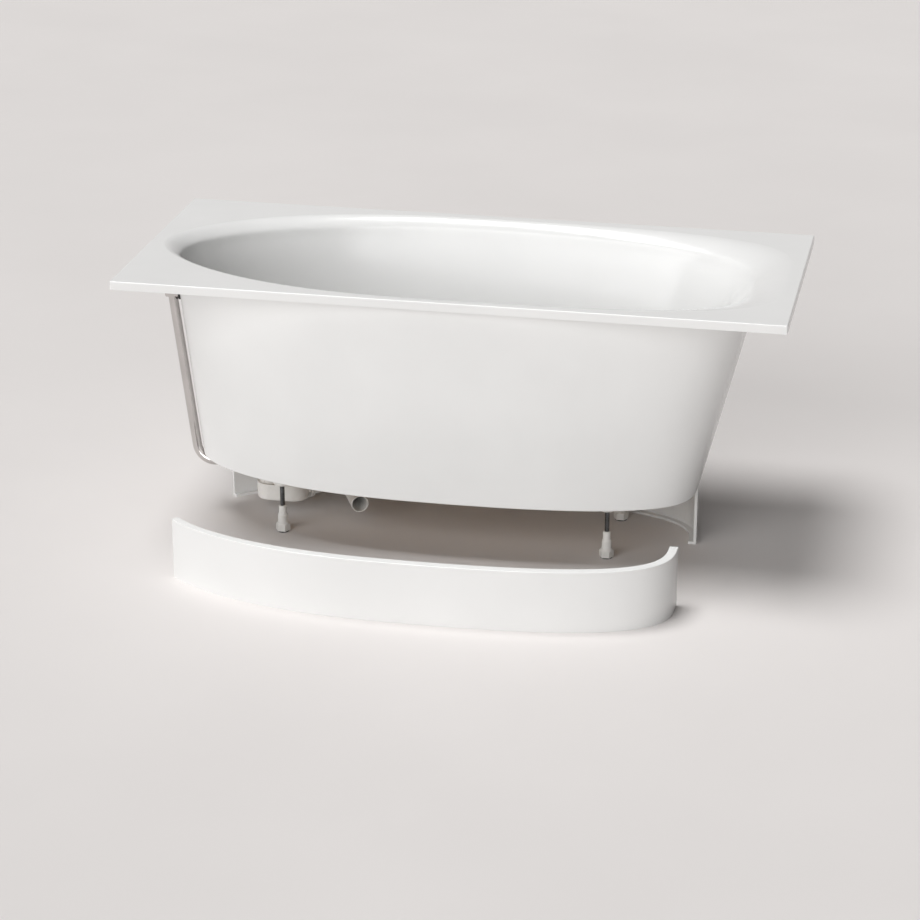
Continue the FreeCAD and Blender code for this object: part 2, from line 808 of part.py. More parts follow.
def slot_sketch(body, name, width, spacing, plane):
    """Sketch of two half circles joined by straight lines, the first centred on the origin."""
    sketch = new_sketch(body, name, plane)
    reach, half = Vector(size("trap_spacing"), 0, 0), Vector(0, size("trap_width") / 2, 0)
    left, axis = Vector(0, 0, 0), Vector(0, 0, 1)
    quarter = math.pi / 2
    near = sketch.addGeometry(Part.ArcOfCircle(Part.Circle(left, axis, half.y), quarter, 3 * quarter))
    far = sketch.addGeometry(Part.ArcOfCircle(Part.Circle(reach, axis, half.y), -quarter, quarter))
    low = sketch.addGeometry(Part.LineSegment(left - half, reach - half))
    high = sketch.addGeometry(Part.LineSegment(reach + half, left + half))
    for first, second in ((near, low), (low, far), (far, high), (high, near)):
        sketch.addConstraint(Sketcher.Constraint("Tangent", first, 2, second, 1))
    sketch.addConstraint(Sketcher.Constraint("Coincident", near, 3, -1, 1))
    sketch.addConstraint(Sketcher.Constraint("PointOnObject", far, 3, -1))
    sketch.addConstraint(Sketcher.Constraint("Equal", near, far))
    wide =sketch.addConstraint(Sketcher.Constraint("Radius", near, half.y))
    apart = sketch.addConstraint(Sketcher.Constraint("DistanceX", near, 3, far, 3, reach.x))
    sketch.setExpression(f"Constraints[{wide}]", tied(f"({width}) / 2"))
    sketch.setExpression(f"Constraints[{apart}]", tied(spacing))
    doc.recompute()
    return sketch


def slot_pad(name, width, height):
    """Upright solid on a slot outline round the trap's two centres."""
    body = doc.addObject("PartDesign::Body", name)
    pad = body.newObject("PartDesign::Pad", name + "_pad")
    pad.Profile = slot_sketch(body, name + "_outline", width, "trap_spacing", "XY_Plane")
    bind(pad, Length=height)
    doc.recompute()
    return body


def at_trap(item, z):
    """Stand an object of the trap under the waste."""
    return place(item, "drain_x", "axis_y", z)


def round_foot(body, radius):
    """Round the outer edge at the foot of a body."""
    low = body.Shape.BoundBox.ZMin
    width = body.Shape.BoundBox.YLength
    wanted = []
    for index, edge in enumerate(body.Shape.Edges, 1):
        box = edge.BoundBox
        if box.ZMax - low < size("overrun") / 2 and box.YLength + box.XLength > width / 2:
            wanted.append((f"Edge{index}", edge))
    longest = max(edge.BoundBox.DiagonalLength for name, edge in wanted)
    names = [name for name, edge in wanted if edge.BoundBox.DiagonalLength > longest / 2]
    solid = body.Tip
    fillet = body.newObject("PartDesign::Fillet", body.Name + "_round")
    fillet.Base = (solid, names)
    bind(fillet, Radius=radius)
    doc.recompute()
    return body


def build_structure():
    """Bowl, shell, board, bearers and plinth."""
    node("bath_bowl", feature("bowl", bath_bowl()))
    node("outer_shell", feature("shell", outer_shell()))
    node("base_board", feature("board", base_board()))
    bearers = []
    for name, sign in (("left", "-"), ("right", "+")):
        x = f"foot_middle_x {sign} bearer_spacing / 2 - bearer_width / 2"
        where = {"x": x, "y": "axis_y - bearer_length / 2", "z": "board_top_z"}
        bearers.append(block(f"bearer_{name}", "bearer_width", "bearer_length", "bearer_height", **where))
    node("floor_bearers", group("bearers", bearers))
    whole = plinth_ring()
    node("plinth_rear", feature("rear", plinth_half(whole, 1)))
    front = node("plinth_front", feature("front", plinth_half(whole, -1)))
    front.Placement = FreeCAD.Placement(Vector(0, -size("plinth_pull_out"), 0), FreeCAD.Rotation())


def build_boss(corner, x, y):
    """White boss under the board, with the seat of its insert and room for the rod."""
    rod, seat = "rod_diameter / 2 + rod_room", "insert_diameter / 2 + thread_clearance"
    deep = "rod_rise + overrun"
    outer, flange = "boss_diameter / 2", "boss_flange_diameter / 2"
    under = "boss_height - boss_flange_thick"
    profile = [("0", deep), (rod, deep), (rod, "insert_length"), (seat, "insert_length"), (seat, "0")]
    profile += [(outer, "0"), (outer, under), (flange, under), (flange, "boss_height"), ("0", "boss_height")]
    body = round_foot(turned(f"boss_{corner}", profile), "boss_round")
    place(body, x, y, "boss_z")
    holes = feature(f"boss_holes_{corner}", screw_holes(size("boss_z"), size("board_z") + size("overrun")))
    node(f"foot_boss_{corner}", cut(f"drilled_boss_{corner}", body, holes))


def build_foot(corner, x, y):
    """Rod, sleeve with hexagonal base, and sole of one foot."""
    half, chamfer = "rod_diameter / 2", "rod_chamfer"
    length = "(boss_z + rod_rise - rod_end_z)"
    waist = f"{half} - {chamfer}"
    profile = [("0", "0"), (waist, "0"), (half, chamfer)]
    profile += [(half, f"{length} - {chamfer}"), (waist, length), ("0", length)]
    node(f"foot_rod_{corner}", place(turned(f"rod_{corner}", profile), x, y, "rod_end_z"))

    prism_base = doc.addObject("Part::Prism", f"hex_{corner}")
    prism_base.Polygon = HEX_SIDE_COUNT
    bind(prism_base, Circumradius="hex_width / sqrt(3)", Height="hex_height")
    place(prism_base, x, y, "sleeve_z")
    low, top = "neck_low_diameter / 2", "neck_top_diameter / 2"
    collar = "hex_height + collar_height"
    shoulder = f"{collar} + neck_low_height"
    end = "foot_height - sleeve_z"
    profile = [("0", "0"), (low, "0"), ("hex_width / 2", "hex_height"), (low, collar), (low, shoulder)]
    profile += [(top, f"{shoulder} + neck_shoulder"), (top, f"{end} - neck_chamfer")]
    profile += [(f"{top} - neck_chamfer", end), ("0", end)]
    neck = place(turned(f"neck_{corner}", profile), x, y, "sleeve_z")
    outside = joined(f"sleeve_solid_{corner}", [prism_base, neck])
    rod_room, floor = "rod_diameter + 2 * thread_clearance", "sleeve_z + sleeve_floor"
    bore_depth = f"foot_height - ({floor}) + overrun"
    rod_bore = cylinder(f"rod_bore_{corner}", rod_room, bore_depth, x=x, y=y, z=floor)
    stud_room, stud_depth = "sole_stud_diameter + 2 * thread_clearance", "sole_stud_height + sole_stud_room"
    stud_bore = cylinder(f"stud_bore_{corner}", stud_room, stud_depth, x=x, y=y, z="sleeve_z")
    bores = group(f"sleeve_bores_{corner}", [rod_bore, stud_bore])
    node(f"foot_sleeve_{corner}", cut(f"sleeve_{corner}", outside, bores))

    wide, stud, plate = "sole_diameter / 2", "sole_stud_diameter / 2", "sole_thick"
    tall = f"{plate} + sole_stud_height"
    profile = [("0", "0"), (wide, "0"), (wide, plate), (stud, plate), (stud, tall), ("0", tall)]
    node(f"foot_sole_{corner}", place(turned(f"sole_{corner}", profile), x, y, "0"))


def build_feet():
    """The four feet with their bosses, inserts and screws."""
    inserts = []
    for corner, (x, y) in foot_places().items():
        build_boss(corner, x, y)
        build_foot(corner, x, y)
        bore = "rod_diameter + 2 * thread_clearance"
        insert = ring(f"insert_{corner}", "insert_diameter", bore, "insert_length")
        inserts.append(place(insert, x, y, "boss_z"))
    node("threaded_inserts", group("inserts", inserts))
    node("boss_screws", feature("screws", boss_screws()))


def build_waste():
    """Waste flange, gasket and body, and the click plug with its cartridge."""
    outer, inner = "waste_tail_diameter / 2", "waste_tail_diameter / 2 - waste_tail_wall"
    low, flange = "waste_tail_length", "waste_flange_diameter / 2"
    top = f"{low} + waste_flange_thick"
    step = "waste_flange_thick / 3"
    profile = [(inner, "0"), (outer, "0"), (outer, low), (flange, low), (flange, f"{top} - {step}")]
    profile += [(f"{flange} - {step}", top), (inner, top)]
    tube = at_trap(turned("waste_tube", profile), "floor_z - waste_tail_length")
    reach = "(waste_tail_diameter - waste_tail_wall)"
    bar = block("spider", reach, "spider_width", "spider_thick")
    place(bar, f"drain_x - {reach} / 2", "axis_y - spider_width / 2", "spider_z - spider_thick / 2")
    hub = at_trap(cylinder("hub", "hub_diameter", "hub_height"), "spider_z - hub_height / 2")
    stud_room = "cartridge_stud_diameter + 2 * thread_clearance"
    bore = at_trap(cylinder("hub_bore", stud_room, "2 * hub_height"), "spider_z - hub_height")
    node("waste_flange", cut("flange", joined("flange_solid", [tube, bar, hub]), bore))

    room = "waste_tail_diameter + waste_room"
    gasket = ring("gasket", "waste_flange_diameter", room, "gasket_thick")
    node("waste_gasket", at_trap(gasket, "waste_top_z"))

    shoulder = "waste_top_z - tail_end_z"
    neck, tail = "waste_neck_diameter / 2", "tail_diameter / 2"
    under = f"{shoulder} - waste_body_flange"
    cone = f"{under} - waste_neck_length"
    cup, tail_bore = f"({room}) / 2", "tail_diameter / 2 - tail_wall"
    floor = f"{shoulder} - waste_bore_depth"
    wide = "waste_body_diameter / 2"
    cone_foot, step_foot = f"{cone} - waste_cone_length", f"{floor} - waste_step"
    profile = [(tail_bore, "0"), (tail, "0"), (tail, cone_foot), (neck, cone), (neck, under), (wide, under)]
    profile += [(wide, shoulder), (cup, shoulder), (cup, floor), (tail_bore, step_foot)]
    body = at_trap(turned("waste_pot", profile), "tail_end_z")
    socket_run = {"x": "drain_x - tail_diameter / 2 + tail_wall / 2", "y": "axis_y", "z": "pipe_low_z"}
    socket = cylinder("socket", "socket_diameter", "socket_length + tail_wall / 2", along=LEFT, **socket_run)
    mouth = {"x": "socket_x - overrun", "y": "axis_y", "z": "pipe_low_z", "along": RIGHT}
    pipe_seat = cylinder("pipe_seat", "pipe_diameter + 2 * pipe_fit", "socket_depth + overrun", **mouth)
    way_length = "socket_length + overrun + tail_diameter / 2"
    way = cylinder("socket_way", "pipe_diameter - 2 * pipe_wall", way_length, **mouth)
    bores = group("socket_bores", [pipe_seat, way])
    node("waste_body", cut("waste", joined("waste_solid", [body, socket]), bores))

    stem = "plug_stem_diameter / 2 + thread_clearance"
    stud, body_half = "cartridge_stud_diameter / 2", "cartridge_diameter / 2"
    low = "cartridge_stud_length"
    tall = f"{low} + cartridge_height"
    profile = [(stem, "0"), (stud, "0"), (stud, low), (body_half, low), (body_half, tall), (stem, tall)]
    node("plug_cartridge", at_trap(turned("cartridge", profile), f"hub_top_z - {low}"))

    half, stem = "plug_diameter / 2", "plug_stem_diameter / 2"
    rise = "plug_stem_length"
    top = f"{rise} + plug_thick"
    brim = f"{top} - plug_dome"
    profile = [("0", "0"), (stem, "0"), (stem, rise), (half, rise), (half, f"{brim} - plug_edge")]
    profile += [(f"{half} - plug_edge", brim), (f"{half} / 2", f"{top} - plug_dome / 4"), ("0", top)]
    node("plug_cap", at_trap(turned("plug", profile), "plug_z - plug_stem_length"))
    seal_bore = "plug_seal_diameter - 2 * plug_seal_width"
    seal = ring("seal", "plug_seal_diameter", seal_bore, "plug_seal_thick")
    node("plug_seal", at_trap(seal, "plug_z - plug_seal_thick"))


def build_trap():
    """Trap with its cover, lid, nuts and drain pipe."""
    pot = round_foot(slot_pad("trap_pot", "trap_width", "trap_height"), "trap_round")
    at_trap(pot, "trap_z")
    room = slot_pad("trap_room", "trap_width - 2 * trap_wall", "trap_height")
    at_trap(room, "trap_z + trap_wall")
    spigot = "drain_diameter - 2 * (drain_wall + trap_fit)"
    outlet_run = {"x": "lid_x", "y": "axis_y", "z": "outlet_z", "along": OUTWARDS}
    outlet = cylinder("outlet", spigot, "trap_width / 2 + outlet_length", **outlet_run)
    way_length = "trap_width / 2 + outlet_length + overrun"
    way = cylinder("way_out", f"{spigot} - 2 * outlet_wall", way_length, **outlet_run)
    node("trap_body", cut("trap", joined("trap_solid", [pot, outlet]), group("trap_hollows", [room, way])))

    plate = at_trap(slot_pad("cover_plate", "trap_width", "trap_cover_thick"), "cover_z")
    through = "trap_cover_thick + 2 * overrun"
    inlet_bore = cylinder("inlet_bore", "tail_diameter + 2 * trap_fit", through)
    at_trap(inlet_bore, "cover_z - overrun")
    lid_bore = cylinder("lid_bore", "lid_plug_diameter + 2 * trap_fit", through)
    place(lid_bore, "lid_x", "axis_y", "cover_z - overrun")
    node("trap_cover", cut("cover", plate, group("cover_bores", [inlet_bore, lid_bore])))

    wide, plug = "lid_diameter / 2", "lid_plug_diameter / 2"
    top = "lid_plug_depth + lid_thick"
    profile = [("0", "0"), (plug, "0"), (plug, "lid_plug_depth"), (wide, "lid_plug_depth")]
    profile += [(wide, f"{top} - lid_chamfer"), (f"{wide} - lid_chamfer", top), ("0", top)]
    node("trap_lid", place(turned("lid", profile), "lid_x", "axis_y", "cover_top_z - lid_plug_depth"))

    low, high, inner = "trap_nut_diameter / 2", "trap_nut_top_diameter / 2", "tail_diameter / 2 + trap_fit"
    step = "trap_nut_height"
    top = f"{step} + trap_nut_step"
    profile = [(inner, "0"), (low, "0"), (low, step), (high, step), (high, top), (inner, top)]
    node("trap_nut", at_trap(turned("collar_nut", profile), "cover_top_z"))
    nut = ring("pipe_nut", "outlet_nut_diameter", "drain_diameter + 2 * trap_fit", "outlet_nut_length")
    nut_x = "lid_x + drain_start * cos(360 * outlet_turn_share)"
    nut_y = "axis_y + drain_start * sin(360 * outlet_turn_share)"
    node("outlet_nut", place(nut, nut_x, nut_y, "outlet_z", OUTWARDS))
    node("drain_pipe", feature("drain", drain_pipe()))


def build_overflow():
    """Overflow from the rosette in the basin to the socket of the waste."""
    node("overflow_rosette", feature("rosette", overflow_rosette()))
    node("overflow_gasket", feature("wedge", overflow_gasket()))
    node("overflow_body", feature("elbow", overflow_body()))
    node("overflow_pipe", feature("overflow", overflow_pipe()))
    node("overflow_washer", feature("back_washer", overflow_washer()))
    bore = "pipe_diameter + 2 * pipe_fit"
    socket_nut = ring("compression_nut", "socket_nut_diameter", bore, "socket_nut_length")
    node("socket_nut", place(socket_nut, "socket_x", "axis_y", "pipe_low_z", LEFT))


def check_objects():
    """Stop if any object failed or any piece has no sound shape."""
    failed = [item.Label for item in doc.Objects if {"Invalid", "Error"} & set(item.State)]
    failed += [name for name, item in nodes.items() if item.Shape.isNull() or not item.Shape.isValid()]
    if failed:
        raise RuntimeError(f"these did not build: {failed}")


def write_parts():
    """Write each piece to a file of its own name."""
    os.makedirs("parts", exist_ok=True)
    for name, item in nodes.items():
        item.Shape.exportStep(f"parts/{name}.step")
        print(name, len(item.Shape.Solids), round(item.Shape.Volume))


build_structure()
build_feet()
build_waste()
build_trap()
build_overflow()
doc.recompute()
check_objects()
write_parts()
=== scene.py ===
"""Built-in bathtub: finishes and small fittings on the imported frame, shown in a pale studio."""

import json
import logging
import math
from dataclasses import dataclass, field
from enum import Enum

import bpy
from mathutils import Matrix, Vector


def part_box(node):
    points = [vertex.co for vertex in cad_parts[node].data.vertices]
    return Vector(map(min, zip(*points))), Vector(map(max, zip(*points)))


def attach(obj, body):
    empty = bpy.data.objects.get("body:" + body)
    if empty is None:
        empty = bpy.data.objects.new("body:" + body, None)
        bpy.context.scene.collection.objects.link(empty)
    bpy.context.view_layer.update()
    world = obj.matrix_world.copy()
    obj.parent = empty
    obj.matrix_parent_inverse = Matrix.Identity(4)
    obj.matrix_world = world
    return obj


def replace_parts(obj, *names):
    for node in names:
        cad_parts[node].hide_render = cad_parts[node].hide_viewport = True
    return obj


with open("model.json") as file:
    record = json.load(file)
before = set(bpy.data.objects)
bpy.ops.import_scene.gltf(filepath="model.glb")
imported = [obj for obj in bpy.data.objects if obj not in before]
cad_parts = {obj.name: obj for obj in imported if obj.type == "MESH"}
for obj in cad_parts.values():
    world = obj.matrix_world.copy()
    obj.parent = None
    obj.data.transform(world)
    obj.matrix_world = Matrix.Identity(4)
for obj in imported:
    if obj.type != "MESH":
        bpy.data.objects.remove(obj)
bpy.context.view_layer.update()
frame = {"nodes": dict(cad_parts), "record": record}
MM: float = 0.001
log: logging.Logger = logging.getLogger("bathtub")


class Body(Enum):
    """Bodies of the frame that carry new pieces."""

    TUB = "tub"


class Corner(Enum):
    """Corners of the bath that have a foot."""

    FRONT_LEFT = "front_left"
    FRONT_RIGHT = "front_right"
    BACK_LEFT = "back_left"
    BACK_RIGHT = "back_right"


class Axis(Enum):
    """Directions that a round fitting can lie along."""

    UP = (0.0, 0.0, 1.0)
    RIGHT = (1.0, 0.0, 0.0)
    BACK_RIGHT = (math.sqrt(0.5), math.sqrt(0.5), 0.0)


def linear(hex_colour: str) -> tuple[float, float, float, float]:
    """Turn an sRGB hex colour to the linear values that a socket takes.

    Args:
        hex_colour: six hex digits after a hash sign.

    Returns:
        Red, green, blue and a full alpha.
    """
    parts = [int(hex_colour[i : i + 2], 16) / 255 for i in (1, 3, 5)]
    red, green, blue = (c / 12.92 if c <= 0.04045 else ((c + 0.055) / 1.055) ** 2.4 for c in parts)
    return red, green, blue, 1.0


def per_metre(size_mm: float) -> float:
    """Scale of a pattern whose features are about this many millimetres wide."""
    return 1000.0 / size_mm


def add_node(
    tree: bpy.types.NodeTree, kind: str, inputs: dict | None = None, **settings: object
) -> bpy.types.Node:
    """Add a node with its settings, and set or link its inputs.

    Args:
        tree: node tree that gets the node.
        kind: Blender's name for the node type.
        inputs: input name or number, to a value or to the output socket that feeds it.
        settings: properties of the node itself.

    Returns:
        The new node.
    """
    node = tree.nodes.new(kind)
    for name, value in settings.items():
        setattr(node, name, value)
    for key, value in (inputs or {}).items():
        if isinstance(value, bpy.types.NodeSocket):
            tree.links.new(value, node.inputs[key])
        else:
            node.inputs[key].default_value = value
    return node


def noise(
    tree: bpy.types.NodeTree,
    place: bpy.types.NodeSocket,
    size_mm: float,
    detail: float,
    distortion: float = 0.0,
) -> bpy.types.NodeSocket:
    """Add a noise pattern whose features have a real size.

    Args:
        tree: the material's nodes.
        place: coordinates in metres.
        size_mm: rough width of a feature.
        detail: how many finer layers it has.
        distortion: how far it is stirred.

    Returns:
        The pattern's grey value.
    """
    inputs = {"Vector": place, "Scale": per_metre(size_mm), "Detail": detail, "Distortion": distortion}
    return add_node(tree, "ShaderNodeTexNoise", inputs).outputs["Fac"]


def blend(
    tree: bpy.types.NodeTree, amount: bpy.types.NodeSocket, span: tuple[float, float], low: str, high: str
) -> bpy.types.NodeSocket:
    """Blend two colours by a grey value.

    Args:
        tree: the material's nodes.
        amount: the grey value.
        span: grey values at which the blend starts and ends.
        low: colour at the start.
        high: colour at the end.

    Returns:
        The blended colour.
    """
    ramp = add_node(tree, "ShaderNodeValToRGB", {"Fac": amount})
    for element, position, colour in zip(ramp.color_ramp.elements, span, (low, high)):
        element.position = position
        element.color = linear(colour)
    return ramp.outputs["Color"]


@dataclass(frozen=True)
class Finish:
    """A surface finish: two near colours mixed over the piece, and an uneven gloss."""

    name: str
    colour: str
    shade: str
    mottle_mm: float
    roughness: float
    roughness_spread: float
    grain_mm: float
    grain_depth_mm: float
    metallic: float = 0.0
    ior: float = 1.5
    coat: float = 0.0
    coat_roughness: float = 0.03
    mottle_detail: float = 3.0
    mottle_span: tuple[float, float] = (0.35, 0.65)
    patches_per_mottle: float = 3.0
    patch_detail: float = 4.0
    patch_span: tuple[float, float] = (0.3, 0.7)
    grain_detail: float = 2.0
    grain_strength: float = 0.3

    def material(self) -> bpy.types.Material:
        """Build the material, or return the one that is already built.

        Returns:
            The finished material.
        """
        known = bpy.data.materials.get(self.name)
        if known:
            return known
        material = bpy.data.materials.new(self.name)
        material.use_nodes = True
        tree = material.node_tree
        shader = next(node for node in tree.nodes if node.type == "BSDF_PRINCIPLED")
        shader.inputs["Metallic"].default_value = self.metallic
        shader.inputs["IOR"].default_value = self.ior
        shader.inputs["Coat Weight"].default_value = self.coat
        shader.inputs["Coat Roughness"].default_value = self.coat_roughness
        place = add_node(tree, "ShaderNodeTexCoord").outputs["Object"]
        tree.links.new(self.paint(tree, place), shader.inputs["Base Color"])
        tree.links.new(self.gloss(tree, place), shader.inputs["Roughness"])
        tree.links.new(self.grain(tree, place), shader.inputs["Normal"])
        return material

    def paint(self, tree: bpy.types.NodeTree, place: bpy.types.NodeSocket) -> bpy.types.NodeSocket:
        """Mix the two colours in soft clouds.

        Args:
            tree: the material's nodes.
            place: Object coordinates.

        Returns:
            The mixed colour.
        """
        clouds = noise(tree, place, self.mottle_mm, self.mottle_detail)
        return blend(tree, clouds, self.mottle_span, self.shade, self.colour)

    def gloss(self, tree: bpy.types.NodeTree, place: bpy.types.NodeSocket) -> bpy.types.NodeSocket:
        """Vary the gloss in patches.

        Args:
            tree: the material's nodes.
            place: Object coordinates.

        Returns:
            The uneven roughness.
        """
        start, end = self.patch_span
        levels = {
            "Value": noise(tree, place, self.mottle_mm / self.patches_per_mottle, self.patch_detail),
            "From Min": start,
            "From Max": end,
            "To Min": max(self.roughness - self.roughness_spread, 0.0),
            "To Max": self.roughness + self.roughness_spread,
        }
        return add_node(tree, "ShaderNodeMapRange", levels).outputs["Result"]

    def grain(self, tree: bpy.types.NodeTree, place: bpy.types.NodeSocket) -> bpy.types.NodeSocket:
        """Raise a fine grain.

        Args:
            tree: the material's nodes.
            place: Object coordinates.

        Returns:
            The bent normal.
        """
        lift = {
            "Height": noise(tree, place, self.grain_mm, self.grain_detail),
            "Strength": self.grain_strength,
            "Distance": self.grain_depth_mm * MM,
        }
        return add_node(tree, "ShaderNodeBump", lift).outputs["Normal"]


@dataclass(frozen=True)
class Plywood(Finish):
    """Birch plywood: long streaks along the board."""

    streak_mm: float = 7.0
    streak_detail: float = 5.0
    streak_distortion: float = 0.6
    streak_span: tuple[float, float] = (0.3, 0.6)
    stretch: tuple[float, float, float] = (0.06, 1.0, 1.0)

    def paint(self, tree: bpy.types.NodeTree, place: bpy.types.NodeSocket) -> bpy.types.NodeSocket:
        """Draw the streaks, stretched so that each is long.

        Args:
            tree: the material's nodes.
            place: Object coordinates.

        Returns:
            The streaked colour.
        """
        mapping = add_node(tree, "ShaderNodeMapping", {"Vector": place, "Scale": self.stretch})
        along = mapping.outputs["Vector"]
        streaks = noise(tree, along, self.streak_mm, self.streak_detail, self.streak_distortion)
        return blend(tree, streaks, self.streak_span, self.shade, self.colour)


# Sheet acrylic, drawn and polished: even white with a wet gloss and hardly any texture
ACRYLIC = Finish(
    name="sanitary_acrylic",
    colour="#E9E9E8",
    shade="#E6E6E5",
    mottle_mm=260,
    roughness=0.22,
    roughness_spread=0.03,
    grain_mm=9,
    grain_depth_mm=0.02,
    ior=1.49,
    coat=0.12,
    coat_roughness=0.1,
)

# Injection-moulded polypropylene: softer white, satin, with a fine mould grain drawn coarse enough to show
POLYPROPYLENE = Finish(
    name="moulded_polypropylene",
    colour="#EAE9E6",
    shade="#E2E0DC",
    mottle_mm=40,
    roughness=0.42,
    roughness_spread=0.06,
    grain_mm=1.2,
    grain_depth_mm=0.06,
    ior=1.49,
)

# Zinc-plated steel: grey metal with a cloudy plating
ZINC = Finish(
    name="zinc_plated_steel",
    colour="#8B8C8E",
    shade="#6F7072",
    mottle_mm=12,
    roughness=0.36,
    roughness_spread=0.08,
    grain_mm=0.8,
    grain_depth_mm=0.03,
    metallic=1.0,
)

# Chrome plate on drawn tube: mirror gloss, faint drawing marks
CHROME = Finish(
    name="polished_chrome",
    colour="#D3CFCD",
    shade="#C8C4C2",
    mottle_mm=60,
    roughness=0.07,
    roughness_spread=0.03,
    grain_mm=2.0,
    grain_depth_mm=0.004,
    metallic=1.0,
)

# Turned brass: warm metal with dull patches
BRASS = Finish(
    name="turned_brass",
    colour="#C8A558",
    shade="#A98743",
    mottle_mm=10,
    roughness=0.36,
    roughness_spread=0.08,
    grain_mm=0.8,
    grain_depth_mm=0.02,
    metallic=1.0,
)

# Moulded rubber: nearly black, dull and slightly dusty
RUBBER = Finish(
    name="moulded_rubber",
    colour="#1D1D1D",
    shade="#2B2A29",
    mottle_mm=8,
    roughness=0.8,
    roughness_spread=0.1,
    grain_mm=0.9,
    grain_depth_mm=0.08,
)

# Birch plywood: pale wood with darker streaks
PLYWOOD = Plywood(
    name="birch_plywood",
    colour="#C9A777",
    shade="#8F6A42",
    mottle_mm=60,
    roughness=0.6,
    roughness_spread=0.1,
    grain_mm=1.5,
    grain_depth_mm=0.1,
)

FINISH_OF_SLOT: dict[str, Finish] = {
    "white_acrylic": ACRYLIC,
    "birch_board": PLYWOOD,
    "white_plastic": POLYPROPYLENE,
    "zinc_steel": ZINC,
    "brass": BRASS,
    "chrome": CHROME,
    "black_rubber": RUBBER,
}


def dress(piece: bpy.types.Object, finish: Finish) -> None:
    """Give a piece one finish in place of whatever it has."""
    piece.data.materials.clear()
    piece.data.materials.append(finish.material())


def start_alone() -> None:
    """Leave edit mode and deselect everything, so that the next operator acts on its own piece only."""
    if bpy.context.object and bpy.context.object.mode != "OBJECT":
        bpy.ops.object.mode_set(mode="OBJECT")
    bpy.ops.object.select_all(action="DESELECT")


def apply_modifiers(piece: bpy.types.Object) -> None:
    """Apply every modifier of the active piece, in order."""
    for modifier in list(piece.modifiers):
        bpy.ops.object.modifier_apply(modifier=modifier.name)


def settle(
    piece: bpy.types.Object, name: str, finish: Finish, body: Body, angle: float = 40.0
) -> bpy.types.Object:
    """Name a finished piece, put its place into its mesh, dress it and let it ride on its body.

    Args:
        piece: the piece, active and in object mode.
        name: its name.
        finish: its surface finish.
        body: the body that carries it.
        angle: edges sharper than this many degrees stay sharp.

    Returns:
        The same piece.
    """
    piece.name = name
    piece.data.name = name
    bpy.ops.object.transform_apply(location=True, rotation=True, scale=True)
    bpy.ops.object.shade_smooth_by_angle(angle=math.radians(angle))
    dress(piece, finish)
    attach(piece, body.value)
    log.info("%s rides on %s", name, body.value)
    return piece


@dataclass
class FrameNodes:
    """The solids of the frame, each dressed in the finish of its material slot."""

    subparts: list[dict] = field(default_factory=lambda: frame["record"]["subparts"])

    def dress(self) -> None:
        """Dress every node."""
        for subpart in self.subparts:
            dress(frame["nodes"][subpart["node"]], FINISH_OF_SLOT[subpart["material_slot"]])
            log.info("%s wears %s", subpart["node"], subpart["material_slot"])


@dataclass
class ThreadedRod:
    """Threaded rod of one foot, which stands for the plain rod of the frame."""

    corner: Corner
    pitch: float = 1.75 * MM
    thread_depth: float = 1.0 * MM
    clearance: float = 0.15 * MM
    end_bevel: float = 0.8 * MM
    bevel_steps: int = 2
    core_sides: int = 40
    ridge_sides: int = 3
    depth_per_ridge_radius: float = 1.3
    spare_turns: int = 2
    steps_per_turn: int = 20
    sharp_angle: float = 25.0

    def build(self) -> bpy.types.Object:
        """Model the core and the helical ridge, and join them.

        Returns:
            The rod.
        """
        node = f"foot_rod_{self.corner.value}"
        low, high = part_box(node)
        middle = (low + high) / 2
        crest = (high.x - low.x) / 2 - self.clearance
        start_alone()
        ridge = self.ridge(Vector((middle.x, middle.y, low.z)), crest, high.z - low.z)
        core = self.core(middle, crest - self.thread_depth, high.z - low.z)
        ridge.select_set(True)
        bpy.context.view_layer.objects.active = core
        bpy.ops.object.join()
        name = f"threaded_rod_{self.corner.value}"
        rod = settle(core, name, ZINC, Body.TUB, self.sharp_angle)
        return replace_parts(rod, node)

    def core(self, middle: Vector, radius: float, length: float) -> bpy.types.Object:
        """Model the core with bevelled ends.

        Args:
            middle: middle of the rod.
            radius: radius at the root of the thread.
            length: length of the rod.

        Returns:
            The core, active and selected alone.
        """
        start_alone()
        sides = self.core_sides
        bpy.ops.mesh.primitive_cylinder_add(vertices=sides, radius=radius, depth=length, location=middle)
        core = bpy.context.object
        bevel = core.modifiers.new("ends", "BEVEL")
        bevel.width = self.end_bevel
        bevel.segments = self.bevel_steps
        bevel.limit_method = "ANGLE"
        apply_modifiers(core)
        return core

    def ridge(self, foot: Vector, crest: float, length: float) -> bpy.types.Object:
        """Wind a three-cornered bar round the core.

        Args:
            foot: middle of the rod's lower end.
            crest: outer radius of the thread.
            length: length of the rod.

        Returns:
            The ridge, its place already in its mesh.
        """
        radius = self.thread_depth / self.depth_per_ridge_radius
        start = Vector((crest - radius, 0, self.pitch))
        outwards = (math.pi / 2, math.pi / 2, 0)
        sides = self.ridge_sides
        bpy.ops.mesh.primitive_circle_add(vertices=sides, radius=radius, location=start, rotation=outwards)
        ridge = bpy.context.object
        bpy.ops.object.transform_apply(location=True, rotation=True, scale=True)
        wind = ridge.modifiers.new("thread", "SCREW")
        wind.axis = "Z"
        wind.screw_offset = self.pitch
        wind.iterations = int(length / self.pitch) - self.spare_turns
        wind.steps = self.steps_per_turn
        wind.render_steps = self.steps_per_turn
        apply_modifiers(ridge)
        bpy.ops.object.mode_set(mode="EDIT")
        bpy.ops.mesh.select_all(action="SELECT")
        bpy.ops.mesh.fill_holes(sides=sides)
        bpy.ops.mesh.normals_make_consistent(inside=False)
        bpy.ops.object.mode_set(mode="OBJECT")
        ridge.location = foot
        bpy.ops.object.transform_apply(location=True, rotation=True, scale=True)
        return ridge


